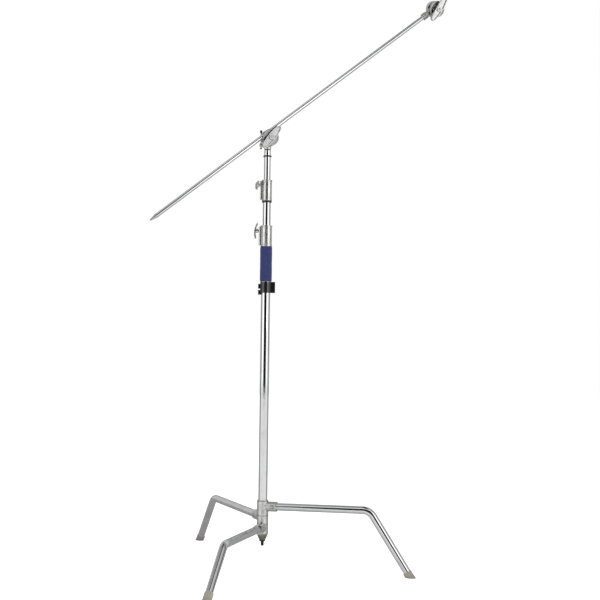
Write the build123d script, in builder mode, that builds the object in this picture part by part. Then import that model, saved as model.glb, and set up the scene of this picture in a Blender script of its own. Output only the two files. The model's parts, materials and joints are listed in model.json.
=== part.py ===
from build123d import *
import os
from math import cos, radians, sin, tan

os.makedirs("parts", exist_ok=True)

# ---------------------------------------------------------------- driving sizes
# Millimetres and degrees. The origin is on the floor, on the column's axis. +Z is up, +X is to the
# right and +Y is to the back of the stand.

# clearances
run_fit = 0.05  # radial clearance of a piece that turns or slides in another
face_gap = 0.3  # gap between faces that pass each other
tube_gap = 1.0  # radial gap between one column tube and the next

# column tubes
column_od = 35.0
tube_wall = 1.5
riser_od = column_od - 2 * tube_wall - 2 * tube_gap
mast_od = riser_od - 2 * tube_wall - 2 * tube_gap

# legs: direction about the column and distance of the bend from its axis
leg_od = 29.0
leg_wall = 1.5
leg_bend = 45.0
leg_rise = 1.2  # angle by which the upper part of a leg climbs outwards
foot_radius = 569.0
front_leg_z = 150.0
socket_wall = 4.5
socket_gap = 2.0  # height between one leg's socket and the next, so that the legs fold side by side
socket_r = leg_od / 2 + socket_wall
leg_pitch = 2 * socket_r + socket_gap
legs = {
    "front": {"azimuth": 251.2, "height": front_leg_z, "corner": 412.0},
    "left": {"azimuth": 117.8, "height": front_leg_z + leg_pitch, "corner": 432.0},
    "right": {"azimuth": -15.8, "height": front_leg_z + 2 * leg_pitch, "corner": 413.0},
}

# leg hubs and their sockets
hub_wall = 4.5
hub_r = column_od / 2 + hub_wall
socket_depth = 30.0
hub_gap = 0.5
leg_start = hub_r + 4.0
socket_end = leg_start + socket_depth
hub_bottom = front_leg_z - socket_r - 3.5
hub_tops = {"front": front_leg_z + 14.0, "left": legs["left"]["height"] + 6.0}
hub_tops["right"] = legs["right"]["height"] + socket_r + 1.5
lock_ring_height = 3.5
leg_bolt_r = 3.0
leg_bolt_at = leg_start + socket_depth / 2
leg_bolt_seat = socket_r - 2.0

# feet
foot_r = leg_od / 2 + 2.5
foot_length = 12.0
foot_floor = 3.0  # rubber under the lowest point of the leg's end

# base plug
cone_height = 23.0
cone_foot_r = 12.5
stud_r = 6.0
stud_drop = 24.0
nut_height = 6.5
nut_flats = 20.0
plug_depth = 20.0  # of the plug inside the column

# stack of parts on the column, by height
column_top = 1262.0
collar_overlap = 41.5  # how far a collar reaches down over its tube
collar_height = 79.5
collar_wall = 3.5
sleeve_length = 134.0
sleeve_wall = 5.5
clip_height = 42.0
clip_wall = 4.0
clip_gap = 1.5
clip_lip = 3.2  # wall of the open C beside the stored arm
prong_depth = 12.0
prong_width = 14.0
prong_height = 18.0
prong_starts = (-7.0, 16.0)  # from the clip's bottom
collar_rim = 5.0  # height of the thicker rim at each end
collar_rim_out = 1.0
riser_show = 87.0  # tube seen between the lower collar and the bump ring
bump_height = 8.0
mast_show = 87.0  # tube seen between the upper collar and its bump ring
mast_bump_height = 6.0
neck_height = 16.0
riser_foot = 240.0
mast_foot = 335.0
bush_height = 30.0

lower_collar_bottom = column_top - collar_overlap
lower_collar_top = lower_collar_bottom + collar_height
bump_bottom = lower_collar_top + riser_show
upper_collar_bottom = bump_bottom + bump_height
upper_collar_top = upper_collar_bottom + collar_height
riser_top = upper_collar_bottom + collar_overlap
mast_bump_bottom = upper_collar_top + mast_show
mast_top = mast_bump_bottom + mast_bump_height + neck_height

# wing screws
boss_out = 8.0
boss_half = 9.0
screw_r = 4.0
screw_drop = 20.0  # from the collar's top to the screw's axis
wing_hub_r = 8.0
wing_reach = 30.0
wing_width = 11.0
wing_t = 7.0
wing_standoff = 2.5  # from the boss to the wing
wing_tip_out = 4.5  # the curve's upper end, crown and lower end, out from its standoff
wing_crown_out = 15.5
wing_foot_out = 13.0
wing_turns = {"lower": 0.0, "upper": 70.0}

# top pin
pin_r = 8.0
pin_shoulder = 3.0
pin_foot = mast_top + pin_shoulder
pin_ring_height = 3.7
pin_length = 36.0
pin_groove_r = 6.5
pin_plug = 35.0  # of the pin inside the upper riser

# grip heads
head_z = mast_top + 48.0
head_turn = 15.0
plate_r = 31.75
boss_depth = 14.0
friction_t = 1.5
inner_jaw_t = 15.0
outer_jaw_t = 12.0
jaw_gap = 5.0
far_plate_t = 20.0
receiver_r = 18.0
bolt_r = 5.0
thrust_t = 3.5
thrust_r = 14.0
groove_offset = 20.0
small_rod_r = 4.8
screw_z = head_z - 25.0
lever_out = 26.0
lever_reach = 50.0
lever_back = 14.0
lever_r = 2.4
lever_tip_r = 4.5
lever_butt_r = 3.6
hex_flats = 16.0
hex_height = 5.5
bolt_end = 3.0  # of the bolt beyond the handle

# T-handle
handle_half = 52.5
handle_mid = 14.5
handle_tip = 8.5
handle_nose = 4
handle_t = 12.0
handle_hub_r = 11.0
handle_hub_t = 15.0
handle_rim = 3.2
handle_pocket = 4.0
head_handle_angle = 51.6
far_handle_angle = 23.0

# arm
arm_od = 16.0
arm_wall = 1.5
arm_rise = 37.9
arm_behind = 528.0
arm_ahead = 797.0
tail_length = 33.0
far_roll = 15.0
neck_length = 58.0 - plate_r
neck_r = 12.0
neck_ridge = 1.5
neck_socket = 22.0
neck_ridge_t = 3.0
neck_pitch = 6.0
cross_pin_r = 2.5
cross_pin_at = arm_ahead + 8.0

# ---------------------------------------------------------------- worked-out places
column_r = column_od / 2
riser_r = riser_od / 2
mast_r = mast_od / 2
arm_r = arm_od / 2
up = Vector(0, 0, 1)
across = Vector(cos(radians(head_turn)), sin(radians(head_turn)), 0)
outward = Vector(sin(radians(head_turn)), -cos(radians(head_turn)), 0)
along = across * cos(radians(arm_rise)) + up * sin(radians(arm_rise))
square = up * cos(radians(arm_rise)) - across * sin(radians(arm_rise))
head_centre = Vector(0, 0, head_z)
inner_jaw_low = boss_depth + friction_t
inner_jaw_high = inner_jaw_low + inner_jaw_t
outer_jaw_low = inner_jaw_high + jaw_gap
outer_jaw_high = outer_jaw_low + outer_jaw_t
arm_out = inner_jaw_high + jaw_gap / 2
arm_centre = head_centre + outward * arm_out + square * groove_offset
far_centre = arm_centre + along * (arm_ahead + neck_length + plate_r)
far_axis = outward * cos(radians(far_roll)) - square * sin(radians(far_roll))
far_plate_high = far_plate_t / 2
far_jaw_low = far_plate_high + jaw_gap
far_jaw_high = far_jaw_low + outer_jaw_t

head_plane = Plane(origin=head_centre, x_dir=across, z_dir=outward)
tilt_plane = Plane(origin=head_centre, x_dir=along, z_dir=outward)
far_plane = Plane(origin=far_centre, x_dir=along, z_dir=far_axis)
collar_screws = {
    "lower": Vector(-(column_r + collar_wall), 0, lower_collar_top - screw_drop),
    "upper": Vector(-(riser_r + collar_wall), 0, upper_collar_top - screw_drop),
}


def turned(plane, angle):
    """The same plane, turned about its own normal."""
    x_dir = plane.x_dir * cos(radians(angle)) + plane.y_dir * sin(radians(angle))
    return Plane(origin=plane.origin, x_dir=x_dir, z_dir=plane.z_dir)


def save(piece, name):
    piece.part.label = name
    export_step(piece.part, f"parts/{name}.step")


def bar(plane, radius, low, high, mode=Mode.ADD):
    """A round bar or hole along a plane's normal, from low to high."""
    with BuildSketch(plane.offset(low)) as profile:
        Circle(radius)
    extrude(profile.sketch, amount=high - low, mode=mode)


def ring(name, outer, inner, bottom, top, rounding=0.0):
    """A plain ring or tube about the column's axis, with its outer edges rounded."""
    with BuildPart() as piece:
        with BuildSketch(Plane.XY.offset(bottom)):
            Circle(outer)
            Circle(inner, mode=Mode.SUBTRACT)
        extrude(amount=top - bottom)
        if rounding:
            rims = piece.edges().filter_by(GeomType.CIRCLE).filter_by(lambda e: e.radius > outer - 0.01)
            fillet(rims, radius=rounding)
    save(piece, name)


# ---------------------------------------------------------------- base
def leg_plane(leg):
    """The upright plane of a leg: x runs out from the column, y is up."""
    turn = radians(leg["azimuth"])
    return Plane(origin=(0, 0, 0), x_dir=(cos(turn), sin(turn), 0), z_dir=(sin(turn), -cos(turn), 0))


def leg_point(leg, distance):
    """A point of a leg's upper part in its own plane, by its distance out from the column."""
    return Vector(distance, leg["height"] + distance * tan(radians(leg_rise)))


def leg_corner(leg):
    return leg_point(leg, leg["corner"])


def leg_slope(leg):
    """The unit direction of a leg's sloping end, in its own plane."""
    return (Vector(foot_radius, 0) - leg_corner(leg)).normalized()


def leg_end(leg):
    """Where the tube stops above its foot: its lowest point has foot_floor of rubber under it."""
    slope = leg_slope(leg)
    height = foot_floor + leg_od / 2 * slope.X
    return Vector(foot_radius, 0) + slope * (height / slope.Y)


def leg_direction(side):
    return side.x_dir * cos(radians(leg_rise)) + side.y_dir * sin(radians(leg_rise))


def level_plane(side, leg):
    """Square to a leg's upper part: its normal runs out from the column, along the leg."""
    return Plane(origin=(0, 0, leg["height"]), x_dir=side.z_dir, z_dir=leg_direction(side))


def cross_plane(side, leg):
    """The plane of a leg's cross bolt: its normal is level and square to the leg."""
    centre = side.from_local_coords(leg_point(leg, leg_bolt_at))
    return Plane(origin=centre, x_dir=leg_direction(side), z_dir=side.z_dir)


def make_hub(name, leg, bottom, top, bore):
    side = leg_plane(leg)
    level = level_plane(side, leg)
    cross = cross_plane(side, leg)
    spot_r = 2 * leg_bolt_r + 1
    with BuildPart() as hub:
        bar(level, socket_r, 0, socket_end)
        with BuildSketch(Plane.XY.offset(top)):
            Circle(hub_r + hub_gap)
        extrude(amount=leg_pitch, mode=Mode.SUBTRACT)
        with BuildSketch(Plane.XY.offset(bottom)):
            Circle(hub_r)
        extrude(amount=top - bottom)
        with BuildSketch(Plane.XY.offset(bottom)):
            Circle(bore)
        extrude(amount=leg_pitch * 2, mode=Mode.SUBTRACT)
        bar(level, leg_od / 2, leg_start, socket_end, Mode.SUBTRACT)
        bar(cross, leg_bolt_r, -socket_r, socket_r, Mode.SUBTRACT)
        bar(cross, spot_r, leg_bolt_seat, socket_r, Mode.SUBTRACT)
        bar(cross, spot_r, -socket_r, -leg_bolt_seat, Mode.SUBTRACT)
    save(hub, f"hub_{name}")


def make_leg(name, leg):
    side = leg_plane(leg)
    corners = [leg_point(leg, leg_start), leg_corner(leg), leg_end(leg)]
    with BuildPart() as tube:
        with BuildLine(side) as path:
            FilletPolyline([(point.X, point.Y) for point in corners], radius=leg_bend)
        with BuildSketch(Plane(origin=path.line @ 0, x_dir=side.z_dir, z_dir=path.line % 0)):
            Circle(leg_od / 2)
            Circle(leg_od / 2 - leg_wall, mode=Mode.SUBTRACT)
        sweep(path=path.line)
        bar(cross_plane(side, leg), leg_bolt_r, -socket_r, socket_r, Mode.SUBTRACT)
    save(tube, f"leg_{name}")


def make_leg_bolt(name, leg):
    """The cross bolt that holds a leg in its socket, with a domed head at each end."""
    cross = cross_plane(leg_plane(leg), leg)
    head_r = 2 * leg_bolt_r
    reach = leg_bolt_seat + 4
    with BuildPart() as bolt:
        bar(cross, head_r, leg_bolt_seat, reach)
        bar(cross, head_r, -reach, -leg_bolt_seat)
        ends = bolt.edges().filter_by(GeomType.CIRCLE).group_by(Axis(cross.origin, cross.z_dir))
        fillet(ends[0] + ends[-1], radius=2.5)
        bar(cross, leg_bolt_r, -leg_bolt_seat, leg_bolt_seat)
    save(bolt, f"leg_bolt_{name}")


def make_foot(name, leg):
    side = leg_plane(leg)
    slope = leg_slope(leg)
    end = leg_end(leg)
    start = end - slope * foot_length
    centre = side.from_local_coords((start.X, start.Y, 0))
    direction = side.x_dir * slope.X + side.y_dir * slope.Y
    sleeve = Plane(origin=centre, x_dir=side.z_dir, z_dir=direction)
    with BuildPart() as foot:
        with BuildSketch(sleeve):
            Circle(foot_r)
        extrude(amount=foot_length + 4 * foot_r)
        with BuildSketch(sleeve):
            Circle(leg_od / 2)
        extrude(amount=foot_length, mode=Mode.SUBTRACT)
        split(bisect_by=Plane.XY, keep=Keep.TOP)
        rim = foot.edges().filter_by(GeomType.CIRCLE).filter_by(lambda e: e.radius > foot_r - 0.01)
        fillet(rim, radius=1.0)
    save(foot, f"foot_{name}")


def make_base_plug():
    with BuildPart() as plug:
        with BuildSketch(Plane.XZ):
            with BuildLine():
                Polyline(
                    (stud_r, hub_bottom - cone_height),
                    (cone_foot_r, hub_bottom - cone_height),
                    (hub_r - 1.5, hub_bottom - 5),
                    (hub_r - 1.5, hub_bottom),
                    (column_r - tube_wall, hub_bottom),
                    (column_r - tube_wall, hub_bottom + plug_depth),
                    (stud_r, hub_bottom + plug_depth),
                    close=True,
                )
            make_face()
        revolve(axis=Axis.Z)
    save(plug, "base_plug")


def make_base_nut():
    cone_bottom = hub_bottom - cone_height
    with BuildPart() as nut:
        with BuildSketch(Plane.XY.offset(cone_bottom - nut_height)):
            RegularPolygon(nut_flats / 2, 6, major_radius=False)
            Circle(stud_r, mode=Mode.SUBTRACT)
        extrude(amount=nut_height)
    save(nut, "base_nut")


def make_base_stud():
    cone_bottom = hub_bottom - cone_height
    with BuildPart() as stud:
        with BuildSketch(Plane.XY.offset(cone_bottom - stud_drop)):
            Circle(stud_r)
        extrude(amount=stud_drop + cone_height + plug_depth - 5)
        chamfer(stud.faces().sort_by(Axis.Z)[0].edges(), length=1.5)
    save(stud, "base_stud")


# ---------------------------------------------------------------- column
def make_clip():
    """Snaps round the column and holds the stored arm upright in an open C on its right side."""
    top = lower_collar_bottom - sleeve_length - clip_gap
    bottom = top - clip_height
    cradle_r = arm_r + face_gap
    cradle = column_r + clip_wall + cradle_r
    with BuildPart() as clip:
        with BuildSketch(Plane.XY.offset(bottom)):
            Circle(column_r + clip_wall)
            with Locations((cradle / 2 + 3, 0)):
                Rectangle(cradle + 6, 2 * (cradle_r + clip_lip))
            with Locations((cradle, 0)):
                Circle(cradle_r, mode=Mode.SUBTRACT)
            Circle(column_r, mode=Mode.SUBTRACT)
        extrude(amount=clip_height)
        for start in prong_starts:
            with BuildSketch(Plane.XY.offset(bottom + start)):
                with Locations((0.5 - column_r - prong_depth / 2, 0)):
                    Rectangle(prong_depth, prong_width)
                Circle(column_r, mode=Mode.SUBTRACT)
            extrude(amount=prong_height)
        outer = clip.edges().filter_by(Axis.Z).filter_by(lambda e: e.center().X < -column_r - 5)
        fillet(outer, radius=2.5)
    save(clip, "arm_clip")


def make_collar(name, low, tube_r, inner_r, tube_stop):
    """A casting pressed on the lower tube's end, with a boss down one side for its wing screw."""
    high = low + collar_height
    body = tube_r + collar_wall
    boss = body + boss_out
    screw = collar_screws[name]
    with BuildPart() as collar:
        with BuildSketch(Plane.XY.offset(low)):
            Circle(body)
        extrude(amount=collar_height)
        with BuildSketch(Plane.XY.offset(low + collar_rim - 1)):
            with Locations((-boss / 2, 0)):
                Rectangle(boss, 2 * boss_half)
        extrude(amount=collar_height - 2 * (collar_rim - 1))
        corners = collar.edges().filter_by(Axis.Z).filter_by(lambda e: e.center().X < -boss + 0.1)
        fillet(corners, radius=5)
        for rim in (low, high - collar_rim):
            with BuildSketch(Plane.XY.offset(rim)):
                Circle(body + collar_rim_out)
            extrude(amount=collar_rim)
        rims = collar.edges().filter_by(GeomType.CIRCLE)
        rims = rims.filter_by(lambda e: e.radius > body + collar_rim_out - 0.1)
        fillet(rims.group_by(Axis.Z)[0] + rims.group_by(Axis.Z)[-1], radius=1.2)
        with BuildSketch(Plane.XY.offset(low)):
            Circle(tube_r)
        extrude(amount=tube_stop - low, mode=Mode.SUBTRACT)
        with BuildSketch(Plane.XY.offset(tube_stop)):
            Circle(inner_r + run_fit)
        extrude(amount=high - tube_stop, mode=Mode.SUBTRACT)
        with BuildSketch(Plane(origin=(0, 0, screw.Z), x_dir=(0, 1, 0), z_dir=(-1, 0, 0))):
            Circle(screw_r + run_fit)
        extrude(amount=boss + 1, mode=Mode.SUBTRACT)
    save(collar, f"collar_{name}")


def make_wing(name):
    """A wing screw: threaded shank, round hub, and two arms that curve back over the collar."""
    screw = collar_screws[name]
    turn = radians(wing_turns[name])
    face = boss_out + wing_standoff
    tip = face + wing_tip_out
    crown = face + wing_crown_out
    foot = face + wing_foot_out
    flat = Plane(origin=screw, x_dir=(-1, 0, 0), z_dir=(0, cos(turn), sin(turn)))
    shank = Plane(origin=screw, x_dir=(0, 1, 0), z_dir=(-1, 0, 0))
    with BuildPart() as wing:
        with BuildSketch(flat.offset(-wing_width / 2)):
            with BuildLine():
                ThreePointArc((tip, wing_reach + 1), (crown, 0), (foot, -wing_reach - 1))
                Line((foot, -wing_reach - 1), (foot - wing_t, -wing_reach + 1))
                ThreePointArc((foot - wing_t, 1 - wing_reach), (crown - wing_t, 0), (face, wing_reach - 3))
                Line((face, wing_reach - 3), (tip, wing_reach + 1))
            make_face()
        extrude(amount=wing_width)
        fillet(wing.edges(), radius=2.0)
        with BuildSketch(shank.offset(face)):
            Circle(wing_hub_r)
        extrude(amount=10)
        with BuildSketch(shank.offset(1 - collar_wall)):
            Circle(screw_r)
        extrude(amount=face + collar_wall)
    save(wing, f"wing_{name}")


def make_shoe(name, tube_r):
    """A brass pad between the wing screw and the tube that it clamps."""
    screw = collar_screws[name]
    start = -screw.X - tube_r - face_gap
    with BuildPart() as shoe:
        with BuildSketch(Plane(origin=screw, x_dir=(0, 1, 0), z_dir=(-1, 0, 0)).offset(-start)):
            Circle(screw_r)
        extrude(amount=start - collar_wall + 1)
    save(shoe, f"shoe_{name}")


def make_top_pin():
    """A 16 mm pin on a plug in the upper riser, with the groove that a locking screw bites in."""
    inside = mast_r - tube_wall
    groove_low = screw_z - screw_r - 2
    groove_high = screw_z + screw_r + 2
    tip = pin_foot + pin_length
    with BuildPart() as pin:
        with BuildSketch(Plane.XZ):
            with BuildLine():
                Polyline(
                    (0, mast_top - pin_plug),
                    (inside, mast_top - pin_plug),
                    (inside, mast_top),
                    (mast_r, mast_top),
                    (mast_r, pin_foot),
                    (pin_r, pin_foot),
                    (pin_r, groove_low),
                    (pin_groove_r, groove_low + 1.5),
                    (pin_groove_r, groove_high - 1.5),
                    (pin_r, groove_high),
                    (pin_r, tip - 1.5),
                    (pin_r - 1.5, tip),
                    (0, tip),
                    close=True,
                )
            make_face()
        revolve(axis=Axis.Z)
    save(pin, "top_pin")


# ---------------------------------------------------------------- grip head
def make_receiver():
    """The casting that stands on the top pin and carries the jaws' bolt."""
    bottom = pin_foot + pin_ring_height + face_gap
    with BuildPart() as receiver:
        with BuildSketch(Plane.XZ):
            with BuildLine():
                Polyline(
                    (0, bottom),
                    (pin_r + 5, bottom),
                    (pin_r + 5.5, bottom + 8),
                    (pin_r + 8, screw_z + 6),
                    (pin_r + 8, head_z),
                    (0, head_z),
                    close=True,
                )
            make_face()
        revolve(axis=Axis.Z)
        bar(head_plane, 2 * plate_r, boss_depth, 2 * boss_depth, Mode.SUBTRACT)
        bar(head_plane, 2 * plate_r, -2 * boss_depth, -boss_depth, Mode.SUBTRACT)
        bar(head_plane, receiver_r, -boss_depth, boss_depth)
        bar(head_plane, plate_r - 6, boss_depth - 4, boss_depth)
        rims = receiver.edges().filter_by(GeomType.CIRCLE)
        fillet(rims.filter_by(lambda e: e.radius > receiver_r - 1 and e.length > 100), radius=1.0)
        bar(head_plane, bolt_r, -boss_depth, boss_depth, Mode.SUBTRACT)
        bar(Plane.XY, pin_r + run_fit, bottom, pin_foot + pin_length + 1, Mode.SUBTRACT)
        bar(screw_plane, screw_r + run_fit, 0, pin_r + 12, Mode.SUBTRACT)
    save(receiver, "head_receiver")


screw_plane = Plane(origin=(0, 0, screw_z), x_dir=up, z_dir=across * -1)


def make_receiver_screw():
    """The lever screw that locks the receiver to the pin: a bar through its head, pointing up."""
    lever = Plane(origin=screw_plane.from_local_coords((0, 0, lever_out)), x_dir=across, z_dir=up)
    with BuildPart() as screw:
        bar(screw_plane, screw_r, pin_groove_r + face_gap, lever_out - 4)
        bar(screw_plane, screw_r + 2.5, pin_r + 9, lever_out + 5)
        ends = screw.edges().filter_by(GeomType.CIRCLE).filter_by(lambda e: e.radius > screw_r + 2)
        fillet(ends, radius=1.2)
        bar(lever, lever_r, -lever_back, lever_reach)
    save(screw, "receiver_screw")


def make_receiver_tips():
    """Black tips over the two ends of the lever."""
    lever = Plane(origin=screw_plane.from_local_coords((0, 0, lever_out)), x_dir=across, z_dir=up)
    with BuildPart() as tips:
        bar(lever, lever_tip_r, lever_reach - 4, lever_reach + 6)
        bar(lever, lever_butt_r, -lever_back - 2, 4 - lever_back)
        fillet(tips.edges().filter_by(GeomType.CIRCLE), radius=1.7)
        bar(lever, lever_r, -lever_back, lever_reach, Mode.SUBTRACT)
    save(tips, "receiver_tips")


def make_bolt(name, plane, low, high):
    """The bolt of a head, with a hexagon head behind its casting."""
    with BuildPart() as bolt:
        bar(plane, bolt_r, low, high)
        chamfer(bolt.faces().sort_by(Axis(plane.origin, plane.z_dir))[-1].edges(), length=1.0)
        with BuildSketch(plane.offset(low - hex_height)):
            RegularPolygon(hex_flats / 2, 6, major_radius=False)
        extrude(amount=hex_height)
    save(bolt, name)


def make_washer(name, plane, radius, low, high):
    with BuildPart() as washer:
        with BuildSketch(plane.offset(low)):
            Circle(radius)
            Circle(bolt_r + run_fit, mode=Mode.SUBTRACT)
        extrude(amount=high - low)
    save(washer, name)


def cut_rod_grooves(plane, middle):
    """Two round grooves across a jaw's face, one each side of the bolt, for thick and thin rods."""
    for offset, radius in ((groove_offset, arm_r + run_fit), (-groove_offset, small_rod_r + run_fit)):
        centre = plane.from_local_coords((0, offset, middle))
        with BuildSketch(Plane(origin=centre, x_dir=plane.z_dir, z_dir=plane.x_dir)) as profile:
            Circle(radius)
        extrude(profile.sketch, amount=plate_r + 5, both=True, mode=Mode.SUBTRACT)


def make_jaw(name, plane, low, high, middle, dish):
    """A round jaw plate. dish is 1 for a hollowed outer face, or 0 for a flat one."""
    with BuildPart() as jaw:
        bar(plane, plate_r, low, high)
        fillet(jaw.edges().filter_by(GeomType.CIRCLE), radius=1.5)
        if dish:
            with BuildSketch(plane.offset(high - 2.5)):
                Circle(plate_r - 4)
                Circle(thrust_r + 3, mode=Mode.SUBTRACT)
            extrude(amount=3, mode=Mode.SUBTRACT)
        bar(plane, bolt_r + run_fit, low, high, Mode.SUBTRACT)
        cut_rod_grooves(plane, middle)
    save(jaw, name)


def make_handle(name, plane, low):
    """A wing-shaped T-handle: a leaf outline with raised edges on both faces and a round hub."""
    foot = low + (handle_hub_t - handle_t) / 2
    nose = handle_half - handle_nose
    inset = handle_half - handle_rim
    inset_nose = inset - handle_nose
    with BuildPart() as handle:
        with BuildSketch(plane.offset(foot)):
            with BuildLine():
                ThreePointArc((-nose, -handle_tip), (0, -handle_mid), (nose, -handle_tip))
                ThreePointArc((nose, -handle_tip), (handle_half, 0), (nose, handle_tip))
                ThreePointArc((nose, handle_tip), (0, handle_mid), (-nose, handle_tip))
                ThreePointArc((-nose, handle_tip), (-handle_half, 0), (-nose, -handle_tip))
            make_face()
        extrude(amount=handle_t)
        tip = handle_tip - handle_rim
        mid = handle_mid - handle_rim
        for start in (foot, foot + handle_t - handle_pocket):
            with BuildSketch(plane.offset(start)):
                with BuildLine():
                    ThreePointArc((-inset_nose, -tip), (0, -mid), (inset_nose, -tip))
                    ThreePointArc((inset_nose, -tip), (inset, 0), (inset_nose, tip))
                    ThreePointArc((inset_nose, tip), (0, mid), (-inset_nose, tip))
                    ThreePointArc((-inset_nose, tip), (-inset, 0), (-inset_nose, -tip))
                make_face()
            extrude(amount=handle_pocket, mode=Mode.SUBTRACT)
        bar(plane, handle_hub_r, low, low + handle_hub_t)
        bar(plane, bolt_r + run_fit, low, low + handle_hub_t, Mode.SUBTRACT)
    save(handle, name)


# ---------------------------------------------------------------- arm
def make_arm_tube():
    arm = Plane(origin=arm_centre, x_dir=outward, z_dir=along)
    end = arm_ahead + neck_socket
    pin = Plane(origin=arm_centre + along * cross_pin_at, x_dir=along, z_dir=far_axis.cross(along))
    with BuildPart() as tube:
        bar(arm, arm_r, -arm_behind, end)
        bar(arm, arm_r - arm_wall, -arm_behind, end, Mode.SUBTRACT)
        bar(pin, cross_pin_r, -neck_r, neck_r, Mode.SUBTRACT)
    save(tube, "arm_tube")


def make_arm_tail():
    """The tapered tip in the arm's back end."""
    start = arm_centre - along * arm_behind
    inside = arm_r - arm_wall
    with BuildPart() as tail:
        with BuildSketch(Plane(origin=start, x_dir=along * -1, z_dir=outward)):
            with BuildLine():
                Polyline(
                    (-20, 0),
                    (-20, inside),
                    (0, inside),
                    (0, arm_r),
                    (4, arm_r),
                    (tail_length - 2, 2.6),
                    (tail_length, 1.2),
                    (tail_length, 0),
                    close=True,
                )
            make_face()
        revolve(axis=Axis(start, along))
    save(tail, "arm_tail")


def make_far_plate():
    """The far head's fixed plate, with the ridged neck that holds the arm's end."""
    end = -(neck_length + plate_r)
    neck = Plane(origin=far_centre, x_dir=far_axis, z_dir=along)
    pin = Plane(origin=arm_centre + along * cross_pin_at, x_dir=along, z_dir=far_axis.cross(along))
    with BuildPart() as plate:
        bar(far_plane, plate_r, -far_plate_high, far_plate_high)
        fillet(plate.edges().filter_by(GeomType.CIRCLE), radius=1.5)
        bar(neck, neck_r, end, -plate_r + 8)
        for ridge in range(3):
            ridge_low = end + neck_pitch * ridge
            bar(neck, neck_r + neck_ridge, ridge_low, ridge_low + neck_ridge_t)
        bar(neck, arm_r, end, end + neck_socket, Mode.SUBTRACT)
        bar(pin, cross_pin_r, -neck_r - neck_ridge, neck_r + neck_ridge, Mode.SUBTRACT)
        bar(far_plane, bolt_r, -far_plate_high, far_plate_high, Mode.SUBTRACT)
        cut_rod_grooves(far_plane, far_plate_high + jaw_gap / 2)
    save(plate, "far_plate")


def make_far_pin():
    pin = Plane(origin=arm_centre + along * cross_pin_at, x_dir=along, z_dir=far_axis.cross(along))
    with BuildPart() as piece:
        bar(pin, cross_pin_r, -neck_r, neck_r)
    save(piece, "far_pin")


# ---------------------------------------------------------------- the whole stand
hub_low = hub_bottom
for leg_name, leg in legs.items():
    bore = column_r if leg_name == "front" else column_r + run_fit
    make_hub(leg_name, leg, hub_low, hub_tops[leg_name], bore)
    make_leg(leg_name, leg)
    make_leg_bolt(leg_name, leg)
    make_foot(leg_name, leg)
    hub_low = hub_tops[leg_name] + hub_gap

make_base_plug()
make_base_nut()
make_base_stud()
ring("hub_lock_ring", hub_r - 1, column_r, hub_low, hub_low + lock_ring_height, 1.0)
ring("column_tube", column_r, column_r - tube_wall, hub_bottom, column_top)
ring("grip_sleeve", column_r + sleeve_wall, column_r, lower_collar_bottom - sleeve_length - 0.5,
     lower_collar_bottom - 0.5, 2.0)
make_clip()
make_collar("lower", lower_collar_bottom, column_r, riser_r, column_top)
make_wing("lower")
make_shoe("lower", riser_r)

ring("bush_lower", column_r - tube_wall - run_fit, riser_r + run_fit, riser_foot + 2,
     riser_foot + 2 + bush_height)
ring("riser_lower", riser_r, riser_r - tube_wall, riser_foot, riser_top)
ring("bump_ring_lower", riser_r + 3.5, riser_r, bump_bottom, upper_collar_bottom, 1.5)
make_collar("upper", upper_collar_bottom, riser_r, mast_r, riser_top)
make_wing("upper")
make_shoe("upper", mast_r)

ring("bush_upper", riser_r - tube_wall - run_fit, mast_r + run_fit, mast_foot + 2,
     mast_foot + 2 + bush_height)
ring("riser_upper", mast_r, mast_r - tube_wall, mast_foot, mast_top)
ring("bump_ring_upper", mast_r + 3.5, mast_r, mast_bump_bottom, mast_bump_bottom + mast_bump_height, 1.2)
make_top_pin()
ring("pin_ring", pin_r + 3, pin_r, pin_foot, pin_foot + pin_ring_height, 0.8)

make_receiver()
make_receiver_screw()
make_receiver_tips()
make_bolt("head_bolt", head_plane, -boss_depth, outer_jaw_high + thrust_t + handle_hub_t + bolt_end)
make_washer("friction_washer", head_plane, plate_r - 8, boss_depth, inner_jaw_low)
make_jaw("jaw_inner", tilt_plane, inner_jaw_low, inner_jaw_high, arm_out, 0)
make_jaw("jaw_outer", tilt_plane, outer_jaw_low, outer_jaw_high, arm_out, 1)
make_washer("thrust_washer", head_plane, thrust_r, outer_jaw_high + face_gap, outer_jaw_high + thrust_t)
make_handle("head_handle", turned(head_plane, head_handle_angle), outer_jaw_high + thrust_t)

make_arm_tube()
make_arm_tail()
make_far_plate()
make_far_pin()
make_bolt("far_bolt", far_plane, -far_plate_high, far_jaw_high + thrust_t + handle_hub_t + bolt_end)
make_jaw("far_jaw", far_plane, far_jaw_low, far_jaw_high, far_plate_high + jaw_gap / 2, 1)
make_washer("far_washer", far_plane, thrust_r, far_jaw_high + face_gap, far_jaw_high + thrust_t)
make_handle("far_handle", turned(far_plane, far_handle_angle), far_jaw_high + thrust_t)
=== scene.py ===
import json
import math

import bmesh
import bpy
import numpy as np
from mathutils import Matrix, Vector


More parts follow.
